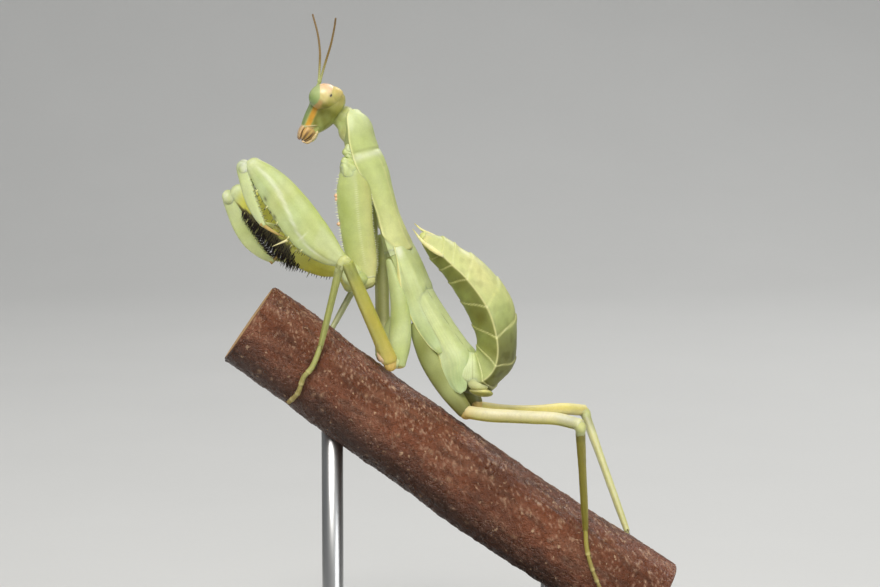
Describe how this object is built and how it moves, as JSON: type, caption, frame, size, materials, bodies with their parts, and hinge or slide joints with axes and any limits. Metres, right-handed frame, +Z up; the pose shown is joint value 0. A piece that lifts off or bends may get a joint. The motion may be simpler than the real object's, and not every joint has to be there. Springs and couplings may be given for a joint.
{
  "type": "praying mantis",
  "caption": "Green praying mantis nymph with wing pads, raised grasping forelegs and upcurled abdomen, gripping a short cut length of branch on a display stand.",
  "frame": {"origin": "centre of the underside of the stand's base", "axes": "+Z up; +X down the slope of the branch, behind the animal; -Y toward the animal's left side"},
  "size_m": [0.062, 0.04, 0.0847],
  "materials": {
    "body_green": "satin pale green skin",
    "leg_cream": "satin cream-yellow skin",
    "wing_pad": "satin whitish green plate with a pale rim",
    "eye": "glossy pale eye with a small dark spot",
    "feeler": "matte brownish yellow",
    "mouth": "satin brown and cream mouthparts",
    "bark": "smooth reddish brown bark with tan flecks",
    "stand_base": "satin black paint",
    "stand_metal": "brushed steel"
  },
  "bodies": {
    "root": {"abdomen_1": "body_green", "abdomen_2": "body_green", "abdomen_3": "body_green", "abdomen_4": "body_green", "abdomen_5": "body_green", "abdomen_6": "body_green", "abdomen_7": "body_green", "abdomen_8": "body_green", "antenna_left": "feeler", "antenna_right": "feeler", "cercus_left": "body_green", "cercus_right": "body_green", "coxa_fore_left": "body_green", "coxa_fore_right": "body_green", "coxa_hind_left": "body_green", "coxa_hind_right": "body_green", "coxa_mid_left": "body_green", "coxa_mid_right": "body_green", "eye_left": "eye", "eye_right": "eye", "femur_fore_left": "body_green", "femur_fore_right": "body_green", "femur_hind_left": "leg_cream", "femur_hind_right": "leg_cream", "femur_mid_left": "leg_cream", "femur_mid_right": "leg_cream", "head": "body_green", "labium": "mouth", "labrum": "mouth", "mandible_left": "mouth", "mandible_right": "mouth", "mesothorax": "body_green", "metathorax": "body_green", "neck": "body_green", "palp_left": "mouth", "palp_right": "mouth", "perch": "bark", "prothorax": "body_green", "stand_base": "stand_base", "stand_rod_left": "stand_metal", "stand_rod_right": "stand_metal", "tarsus_fore_left": "body_green", "tarsus_fore_right": "body_green", "tarsus_hind_left": "body_green", "tarsus_hind_right": "body_green", "tarsus_mid_left": "body_green", "tarsus_mid_right": "body_green", "tibia_fore_left": "body_green", "tibia_fore_right": "body_green", "tibia_hind_left": "body_green", "tibia_hind_right": "body_green", "tibia_mid_left": "body_green", "tibia_mid_right": "body_green", "wing_pad_fore_left": "wing_pad", "wing_pad_fore_right": "wing_pad", "wing_pad_hind_left": "wing_pad", "wing_pad_hind_right": "wing_pad"}
  },
  "joints": []
}
